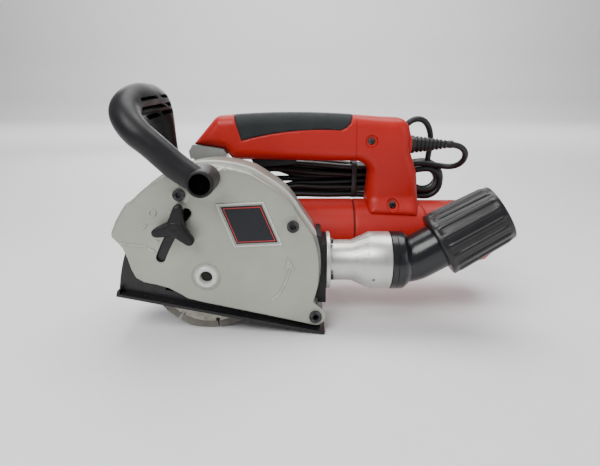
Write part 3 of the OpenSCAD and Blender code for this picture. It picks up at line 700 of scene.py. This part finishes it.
def casting(name, node, face_y, open_y, radius, **more):
    """One half of the guard, walled only round its top, and kept inside the CAD's box at the front."""
    solid, tris, quads, _ = skin(GUARD, face_y, open_y, radius, round_line=[*GUARD_TOP],
                                 soft_line=[GUARD_TOP[-1]] + GUARD_LOW + GUARD[:17] + [GUARD_TOP[0]],
                                 walled=lambda p: away([p], GUARD_TOP, False)[0] < 0.05, **more)
    obj = solidified(built(name, solid, [tuple(t) for t in tris] + quads, "frame", "cast_silver", (node,),
                           facing=(0, face_y - open_y, 0), smooth=40), 3)
    for vertex in obj.data.vertices:
        vertex.co.x = max(vertex.co.x, cad_box[0][0] + 0.0002)


casting("cover_casting", "guard_cover", 0, 20, 2.6, raised=raised, step=2.4,
        holes=[slot_hole, spot((0, 0), 9)] + [spot(place, 2.6, 16) for place in COVER_SCREWS.values()])
casting("housing_casting", "guard_housing", 70, 20.3, 5, step=3, holes=[spot((0, 0), 25, 40)],
        raised=[(spot(BARREL, 14), 0.4, 2), (spot((-45, 80), 11), 4.6, 1.5)])

# the two flanges that meet at the seam; they run out towards the front, and stay inside the CAD's box
FRONT = (cad_box[0][0] - SPINDLE_X) / MM + 0.2
seam = np.asarray(dense(GUARD_TOP[1:-1], 2, closed=False))
t = np.gradient(seam, axis=0)
t /= np.linalg.norm(t, axis=1)[:, None]
out = np.stack([t[:, 1], -t[:, 0]], axis=1)
# the flanges are drawn in the lighter silver, a painted highlight along the seam
for name, y0, y1 in (("near", 17.6, 19.85), ("far", 20.15, 22.2)):
    rows = []
    for p, o in zip(seam, out):
        full_width = np.interp(p[0], (-58, -28), (0.15, 1))
        rows.append([(max(p[0] + o[0] * d, FRONT), y, p[1] + o[1] * d) for d, y in
                     ((-0.5, y0), (2.1 * full_width, y0), (2.5 * full_width, y0 + 0.4), (2.5 * full_width, y1 - 0.3),
                      (2.2 * full_width, y1), (-0.5, y1))])
    tubed("seam_flange." + name, rows, "frame", "cast_silver", material=HIGHLIGHT_SILVER)

for name, centre in COVER_SCREWS.items():
    turned("cover_boss." + name, [(3, 2.7), (3, 5), (35, 5), (35, 2.7)], "y", centre, "frame", "cast_silver",
           around=32)
# the bush's raised ring takes the lighter silver, a painted highlight
turned("cover_bush.look", [(5.4, 6.05), (5.4, 8.9), (0.2, 8.9), (0.2, 12.2), (-0.8, 12), (-2.5, 11.2), (-3.3, 10),
                           (-3.3, 7.9), (-2.8, 6.8), (-1.4, 6.05)],
       "y", (0, 0), "frame", "bright_steel", ("cover_bush",), around=96, material=HIGHLIGHT_SILVER)
softened("cover_screws", 0.45, "black_screw")
softened("pivot_pin", 0.45, "black_screw")

LABEL = [(16.7, 72.4), (31.2, 34), (72.8, 36), (57.3, 74.4)]


def inset(loop, by):
    """A straight-sided loop with each side moved in by the same amount."""
    a = np.asarray(loop, float)
    c = a.mean(axis=0)
    out = []
    for i in range(len(a)):
        p, q, r = a[i - 1], a[i], a[(i + 1) % len(a)]
        n1 = np.array([-(q - p)[1], (q - p)[0]]) / np.linalg.norm(q - p)
        n2 = np.array([-(r - q)[1], (r - q)[0]]) / np.linalg.norm(r - q)
        n1, n2 = n1 * np.sign(n1 @ (c - q)), n2 * np.sign(n2 @ (c - q))
        out.append(tuple(q + by * (n1 + n2) / (1 + n1 @ n2)))
    return out


slab("label_panel", inset(LABEL, 0.6), -0.75, 0.3, 0.2, "frame", "label", ("label_plate",), step=8)
# the frame round the label takes the lighter silver, a painted highlight
label_edge = ((-2.7, 0.3), (-2.7, -1.1), (-2.35, -1.5), (-1.5, -1.5), (-1.15, -1.1), (-1.15, 0.3))
tubed("label_frame", list(zip(*[[(x, y, z) for x, z in inset(LABEL, by)] for by, y in label_edge])),
      "frame", "cast_silver", loop=True, material=HIGHLIGHT_SILVER)
slab("label_line", inset(LABEL, 2.0), -0.82, -0.6, 0.05, "frame", "label", holes=[inset(LABEL, 2.7)], step=8,
     material=RED_LINE)

# ---------------------------------------------------------------- discs and spindle
for node in ("near_disc", "far_disc"):
    softened(node, 0.25, "disc_steel", segments=1)
    lo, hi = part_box(node)
    y0, y1 = (lo[1] - COVER_Y) / MM, (hi[1] - COVER_Y) / MM
    for i in range(9):
        a0, a1 = 82.5 + i * 40 + 1.4, 82.5 + (i + 1) * 40 - 1.4
        rows = []
        for a in np.linspace(-a0, -a1, 18):
            c, s = math.cos(math.radians(a)), math.sin(math.radians(a))
            rows.append([(r * c, y, r * s) for r, y in ((55.2, y0 - 0.25), (62.1, y0 - 0.25), (62.45, y0),
                                                        (62.45, y1), (62.1, y1 + 0.25), (55.2, y1 + 0.25))])
        tubed(f"{node}.segment.{i + 1}", rows, "spindle", "disc_steel", material=SEGMENT)
# the spindle's end is coloured near black: painted shade in the bore of the cover bush
softened("spindle", 0.5, "bright_steel",
         material=finish("spindle in painted bore shade", (0.025, 0.024, 0.022), 0.45, metal=0.8, grain=900, bump=0.1))
SOFTENED = [
    ("inner_flange", 0.5, "bright_steel"), ("spacer_rings", 0.3, "bright_steel"), ("outer_nut", 0.6, "black_screw"),
    ("crown_gear", 0.3, "gear_steel"), ("rotor_shaft", 0.4, "bright_steel"),
    ("armature_core", 0.6, "laminated_iron"), ("commutator", 0.4, "copper"), ("cooling_fan", 0.3, "black_plastic"),
    ("pinion", 0.25, "gear_steel"), ("spindle_bearings", 0.5, "bright_steel"),
    ("motor_bearings", 0.5, "bright_steel"), ("bearing_plate", 1.2, "gearbox_alloy"),
    ("gearbox_screws", 0.5, "black_screw"), ("stator", 0.6, "laminated_iron"),
    ("brush_holders", 0.5, "brass_parts"), ("switch_module", 0.6, "black_plastic"),
    ("port_screws", 0.5, "black_screw"), ("knob_washer", 0.2, "bright_steel"), ("shoe_stud", 0.3, "bright_steel"),
    ("spindle_lock", 0.8, "black_plastic"), ("lock_off_button", 0.8, "black_plastic"),
    ("handle_screws", 0.4, "black_screw")]
for node, width, slot in SOFTENED:
    softened(node, width, slot)
# the screws in the front handle's barrel take the near-black bore material, painted shade
softened("front_handle_screws", 0.4, "black_screw", material=PAINTED_BORE_SHADE)
softened("gearbox_housing", 1.6, "gearbox_alloy", segments=3)

# ---------------------------------------------------------------- motor
softened("motor_front_housing", 0.7, "red_plastic", segments=3)
softened("motor_rear_housing", 0.7, "red_plastic", segments=3)

# a black ring sunk in the gap between the two housings: painted shade in the seam
turned("motor_seam", [(155.1, 37.9), (155.1, 38.9), (156.4, 38.9), (156.4, 37.9)], "x", (MOTOR_Y, MOTOR_Z), "frame",
       "black_plastic", around=120)
rows = []
for a in np.linspace(58, 262, 90):
    end = 239 - 30 * abs((a - 141) / 62) ** 2.4
    c, s = math.cos(math.radians(a)), math.sin(math.radians(a))
    row = []
    for k in range(34):
        x = 156.5 + (end - 156.5) * k / 33
        r = 39.5 - rounded(np.array([(end - x)]), 1.3)[0] - rounded(np.array([x - 156.5]), 0.5)[0]
        row.append((x, MOTOR_Y + r * c, MOTOR_Z + r * s))
    rows.append(row)
n = len(rows[0])
fairing = [(i * n + k, i * n + k + 1, (i + 1) * n + k + 1, (i + 1) * n + k)
           for i in range(len(rows) - 1) for k in range(n - 1)]
solidified(built("motor_fairing", [v for row in rows for v in row], fairing, "frame", "red_plastic",
                 facing=(0, -1, 0)), 1.7)

# ---------------------------------------------------------------- rear handle
HALF = 19


def saddle(p):
    """The foot of the leg spreads over the motor."""
    t = np.clip((63 - p[:, 1]) / 23, 0, 1) * (p[:, 0] > 150)
    return 14.5 * t * t * (3 - 2 * t)


seam_line = (ribbon([(157.5, 95), (157, 125), (156, 160)], 0.9), -0.7, 0.35)
for side, sign in (("near", -1), ("far", 1)):
    recesses = [(spot(c, 6.2, 24), -2.2, 1.0) for c, _ in HANDLE_SCREWS.values()] if side == "near" else []
    holes = [spot(c, 3.9, 20) for c, _ in HANDLE_SCREWS.values()]
    if side == "far":
        holes.append(spot((108, 129), 6.1))
    # the wall stops short over the trigger's opening
    solid, tris, quads, mids = skin(HANDLE, MOTOR_Y + sign * HALF, MOTOR_Y + sign * 0.06, 12, round_line=HANDLE,
                                    holes=holes, raised=recesses + [seam_line], flare=saddle, split=GRIP_EDGE,
                                    wall_to=lambda p: MOTOR_Y + sign * (
                                        6.9 if 30 < p[0] < 95 and p[1] < 107 else 0.06))
    grip = inside(mids, GRIP)
    wall_mid = np.array([[(solid[a][0] + solid[b][0]) / 2, (solid[a][2] + solid[b][2]) / 2] for a, b, _, _ in quads])
    wall_grip = inside(wall_mid, GRIP)
    shell = [tuple(f) for f, g in zip(tris, grip) if not g] + [q for q, g in zip(quads, wall_grip) if not g]
    inlay = [tuple(f) for f, g in zip(tris, grip) if g] + [q for q, g in zip(quads, wall_grip) if g]
    verts, faces = subset(solid, shell)
    solidified(built("handle." + side, verts, faces, "frame", "red_plastic", ("handle_shell_" + side,),
                     facing=(0, sign, 0), smooth=40), 3.2)
    verts, faces = subset(solid, inlay)
    solidified(built("grip." + side, verts, faces, "frame", "grip_rubber", ("soft_grip",) if side == "near" else (),
                     facing=(0, sign, 0), smooth=40), 3.2)
turned("cord_collar", [(215, 6), (215, 12.4), (219.6, 12.2), (220.5, 11.6), (220.9, 10.6), (220.9, 6)], "x",
       (MOTOR_Y, CORD_EXIT_Z), "frame", "red_plastic", around=64)
softened("trigger", 2.2, "black_plastic", segments=4)
turned("trigger_pin.look", [(98, 0.1), (98, 1.7), (98.3, 2), (123.7, 2), (124, 1.7), (124, 0.1)], "y", (38, 108.5),
       "frame", "bright_steel", ("trigger_pin",), around=24)
for name, (centre, y) in HANDLE_SCREWS.items():
    head = [(6, 0.1), (6, 3.75), (0.6, 3.75), (0, 3.2), (0, 1.9), (2.2, 1.7), (2.4, 0.1)]
    turned("screw_head." + name, [(y + d, r) for d, r in head], "y", centre, "frame", "black_screw", around=32)

# ---------------------------------------------------------------- front handle
route = [(6, -26, 101), (-5, -26, 107.5), (-17, -25.5, 116), (-29, -25, 127), (-39, -24.5, 136), (-48.7, -23, 144),
         (-57.5, -17, 153), (-63, -7, 161.5), (-63.5, 6, 167.5), (-62, 22, 170.5), (-60, 38, 171),
         (-58.5, 52, 169.5), (-57.5, 64, 164), (-56.5, 71.5, 155), (-55, 75, 145), (-53, 77, 133), (-50.5, 79, 118),
         (-47.5, 82, 102), (-45, 83.5, 88), (-45, 83.5, 74)]
wide = [11, 12, 12.5, 12.5, 12.5, 13, 13.5, 14, 14.5, 16, 16.5, 17, 17.5, 17, 15.5, 13.5, 11.5, 9.8, 8.3, 8.2]
tall = [10, 10.5, 11, 11.5, 12, 12.5, 13, 13.5, 14, 15, 15, 15, 14.5, 14, 13, 12, 11, 9.5, 8.3, 8.2]
# the bend keeps every fine step, for its pockets, and the rest every fourth
full = through([(*p, a, b) for p, a, b in zip(route, tall, wide)], 40)
full = np.array([p for i, p in enumerate(full) if 280 <= i <= 560 or i % 4 == 0 or i == len(full) - 1])
ref = Vector((1, 0.35, 0.6)).normalized()
# the pockets as (x, z, width, height), and the side of the bar that has them
POCKETS = [(-50, 171.6, 12, 3.2), (-40.5, 174.3, 5.5, 3.2), (-49, 163, 12.5, 3.8), (-39.5, 166, 5, 3.8),
           (-55.5, 153.8, 12.6, 4.2), (-42.6, 157.6, 9, 4.4), (-54.3, 168.4, 3, 6.5)]
SEEN = Vector((0.275, -0.96, 0.04))


def pocket(q, n):
    """How deep the moulded pockets of the far bend are here."""
    if n.dot(SEEN) < 0.03 or q[1] < 2:
        return 0.0
    deep = 0.0
    for x, z, w, h in POCKETS:
        dx, dz = q[0] - x, q[2] - z
        across, up = dx * 0.951 + dz * 0.309, dz * 0.951 - dx * 0.309
        near = min(w / 2 - abs(across), h / 2 - abs(up))
        deep = max(deep, min(1, max(0, near / 0.5)))
    return 3.2 * deep


# dark collects the points deep in the pockets; the faces made only of them take the near-black bore material,
# painted shade in the pockets
rows, dark = [], []
for i, p in enumerate(full):
    t = Vector(full[min(i + 1, len(full) - 1)][:3] - full[max(i - 1, 0)][:3]).normalized()
    u = t.cross(ref).normalized()
    v = u.cross(t)
    row = []
    for k in range(220):
        a = 2 * math.pi * k / 220
        n = u * math.cos(a) + v * math.sin(a)
        q = Vector(p[:3]) + u * p[3] * math.cos(a) + v * p[4] * math.sin(a)
        sunk = pocket(q, n)
        dark.append(sunk > 1.2)
        q = q - n * sunk
        # inside the barrel the bar stays behind the bore's floor, the near-black disc that paints the shade in the
        # bore
        if math.hypot(q[0] - BARREL[0], q[2] - BARREL[1]) < 10.4:
            q[1] = max(q[1], -30.4)
        row.append(tuple(q))
    rows.append(row)
front_bar = tubed("front_bar", rows, "frame", "black_plastic", ("front_handle",))
# faces deep in the pockets: painted shade
front_bar.data.materials.append(PAINTED_BORE_SHADE)
for face in front_bar.data.polygons:
    if all(i < len(dark) and dark[i] for i in face.vertices):
        face.material_index = 1
# a near-black disc across the barrel's bore: painted shade, not a part
turned("barrel_shade_disc", [(-36.6, 9.28), (-36.6, 9.08), (-31.2, 9.02), (-30.9, 8.6), (-30.9, 0.1), (-30.6, 0.1),
                        (-30.6, 9.28)],
       "y", BARREL, "frame", "black_plastic", around=64, material=PAINTED_BORE_SHADE)
turned("front_barrel", [(-1, 4.2), (-1, 12.6), (-4, 12.8), (-30, 12.6), (-36, 12.4), (-37.3, 11.9), (-38, 10.9),
                        (-37.8, 9.8), (-37, 9.3), (-24.2, 9.2), (-24, 4.2)],
       "y", BARREL, "frame", "black_plastic", around=64)

# ---------------------------------------------------------------- dust extraction
softened("duct_plate", 1.0, "black_plastic", segments=3)
softened("dust_port", 0.8, "port_aluminium", segments=3)
port_lo, port_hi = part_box("dust_port")
PORT = ((port_lo[1] + port_hi[1]) / 2 / MM - COVER_Y / MM, ((port_lo[2] + port_hi[2]) / 2 - SPINDLE_Z) / MM)
port_end = (port_hi[0] - SPINDLE_X) / MM
elbow_x = port_end + 24
turned("elbow_collar", [(port_end + d, r) for d, r in (
    (-12, 24.1), (-12, 26.7), (0.3, 26.7), (0.3, 30.1), (0.7, 30.5), (6, 30.5), (6.4, 30.1), (6.8, 30.5),
    (12.4, 30.5), (13.8, 30), (16.6, 28), (19, 25.6), (20.5, 24.1), (20.5, 21.2), (15, 21.2), (12.5, 24.1))],
       "x", PORT, "elbow", "black_plastic", ("dust_elbow",), around=96, material=GLOSS_BLACK)
grub = Vector((0, -math.cos(math.radians(24)), -math.sin(math.radians(24))))
turned("port_grub", [(-1, 0.1), (-1, 1.5), (0.25, 1.5), (0.4, 1.3), (0.4, 0.8), (-0.4, 0.7), (-0.4, 0.1)], "d",
       Vector((port_end - 19, PORT[0], PORT[1])) + grub * 30, "frame", "black_screw", around=20, direction=grub)
rise = math.radians(30.3)
along_tube = (math.cos(rise), 0, math.sin(rise))
bend = []
reach = 9
radius = reach / math.tan(rise / 2)
for a in np.linspace(0, rise, 12):
    bend.append((elbow_x - reach + radius * math.sin(a), PORT[1] + radius * (1 - math.cos(a)), a))
tail = bend[-1]
bend.append((tail[0] + 48 * math.cos(rise), tail[1] + 48 * math.sin(rise), rise))
rows = []
for r, line in ((24, bend), (21, bend[::-1])):
    for x, z, a in line:
        row = []
        for k in range(96):
            b = 2 * math.pi * k / 96
            row.append((x - r * math.sin(b) * math.sin(a), PORT[0] + r * math.cos(b),
                        z + r * math.sin(b) * math.cos(a)))
        rows.append(row)
tubed("elbow_tube", rows, "elbow", "black_plastic", loop=True, material=GLOSS_BLACK)
elbow_centre = (elbow_x, PORT[0], PORT[1])


def rib(a):
    """Broad round ribs with narrow grooves between them."""
    return 1.5 * max(0.0, math.cos(18 * a)) ** 0.45 - 0.35


cuff = [(31.6, 24.4), (31.6, 32.2), (32.2, 33.4), (33.2, 33.9), (36.5, 33.7), (38, 33.2, 0.4), (40, 33.1, 0.85),
        (42, 33, 1)]
cuff += [(42 + k, 33 - k * 0.052, 1) for k in range(6, 50, 6)] + [
    (94, 30.3, 1), (96, 30.2, 0.85), (98, 30.1, 0.3), (99, 30), (101.6, 29.9), (102.4, 29.6), (102.8, 29.1),
    (102.6, 28.7), (101.8, 28.5), (60.5, 28.5), (60, 28.1), (60, 24.4)]
turned("hose_cuff", cuff, "d", elbow_centre, "elbow", "black_plastic", ("hose_sleeve",), around=288, ribs=rib,
       direction=along_tube, smooth=50, material=CUFF_BLACK)

# ---------------------------------------------------------------- base shoe and depth knob
softened("base_shoe", 0.9, "black_coated_steel", segments=2)
SHOE_TILT = 11.5


def on_shoe(x, y, z):
    """A place given along the tilted sole from the pivot."""
    a = math.radians(SHOE_TILT)
    return (PIVOT[0] + x * math.cos(a) + z * math.sin(a), y, PIVOT[1] - x * math.sin(a) + z * math.cos(a))


lip = [(-201.9, -16.3), (-201.9, -10.6), (-201.4, -9.6), (-200.2, -9.2), (-199.2, -10), (-199, -14), (-196, -14),
       (-196, -16.3)]
tubed("shoe_lip", [[on_shoe(x, y, z) for x, z in lip] for y in (-4.8, 10, 40, 69.8)], "shoe", "black_coated_steel")


def star(a):
    """Radius of the knob's outline: three arms that widen to the hub, with round ends."""
    best = 8.6
    for arm in (195, 78, -45):
        delta = math.radians((math.degrees(a) - arm + 180) % 360 - 180)
        if abs(delta) < math.pi / 2:
            for t in np.linspace(0, 1, 24):
                c, r = 18.8 * t, 8.6 - 4.3 * t ** 0.8
                if abs(c * math.sin(delta)) < r:
                    best = max(best, c * math.cos(delta) + math.sqrt(r * r - (c * math.sin(delta)) ** 2))
    return best


rows = []
angles = np.linspace(0, 2 * math.pi, 240, endpoint=False)
radii = np.array([star(a) for a in angles])
for _ in range(3):
    radii = (radii + np.roll(radii, 1) + np.roll(radii, -1)) / 3
profile = [(1.6, -6.6), (0.5, -6.8), (0, -7.8), (0, -13.2), (0.5, -14.8), (1.6, -15.8), (3, -16.2), (5.2, -16.4)]
for d, y in profile:
    rows.append([(STUD[0] + (r - d) * math.cos(a), y, STUD[1] + (r - d) * math.sin(a))
                 for a, r in zip(angles, radii)])
tubed("knob_star", rows, "depth_knob", "black_plastic", ("star_knob",), smooth=40)
turned("knob_hub", [(-1.55, 3.1), (-1.55, 8.4), (-2.2, 9), (-7.5, 8.6), (-16.2, 6.4), (-16.8, 5.6), (-17, 4.6),
                    (-16.9, 3), (-16.6, 0.5), (-12.3, 0.5), (-12.3, 3.1)],
       "y", STUD, "depth_knob", "black_plastic", around=64)

# ---------------------------------------------------------------- floor and light
floor_mesh = bpy.data.meshes.new("floor")
floor_rows = [(-6, 0), (3.2, 0), (3.8, 0.12), (4.2, 0.5), (4.3, 1.2), (4.3, 5)]
floor_verts = [(x, y, z) for y, z in floor_rows for x in (-7, 7)]
floor_mesh.from_pydata(floor_verts, [], [(2 * i, 2 * i + 1, 2 * i + 3, 2 * i + 2)
                                         for i in range(len(floor_rows) - 1)])
floor_mesh.polygons.foreach_set("use_smooth", [True] * len(floor_mesh.polygons))
floor = bpy.data.objects.new("floor", floor_mesh)
bpy.context.scene.collection.objects.link(floor)
floor_mesh.materials.append(finish("floor", (0.86, 0.86, 0.86), 0.6, grain=40, bump=0.01, mottle=0.01))


def lamp(name, place, target, size, power):
    light = bpy.data.lights.new(name, "AREA")
    light.shape = "RECTANGLE"
    light.size, light.size_y = size
    light.energy = power
    obj = bpy.data.objects.new(name, light)
    obj.location = place
    obj.rotation_euler = (Vector(target) - Vector(place)).to_track_quat("-Z", "Y").to_euler()
    bpy.context.scene.collection.objects.link(obj)


lamp("key", (-0.55, -0.9, 1.15), (0, 0, 0.08), (0.9, 0.7), 17)
lamp("fill", (1.2, -0.9, 0.6), (0, 0, 0.08), (0.9, 0.9), 4)
lamp("top", (0.1, 0.35, 1.3), (0, 0, 0.05), (1.3, 0.8), 17)
lamp("wall", (0, 1.9, 1.6), (0, 3.5, 0.1), (4, 1.2), 80)
lamp("back", (-0.3, 1.3, 0.7), (0, 0, 0.1), (1.2, 0.7), 7)
world = bpy.data.worlds.new("world")
world.use_nodes = True
world.node_tree.nodes["Background"].inputs["Color"].default_value = (0.95, 0.96, 1, 1)
world.node_tree.nodes["Background"].inputs["Strength"].default_value = 0.34
bpy.context.scene.world = world
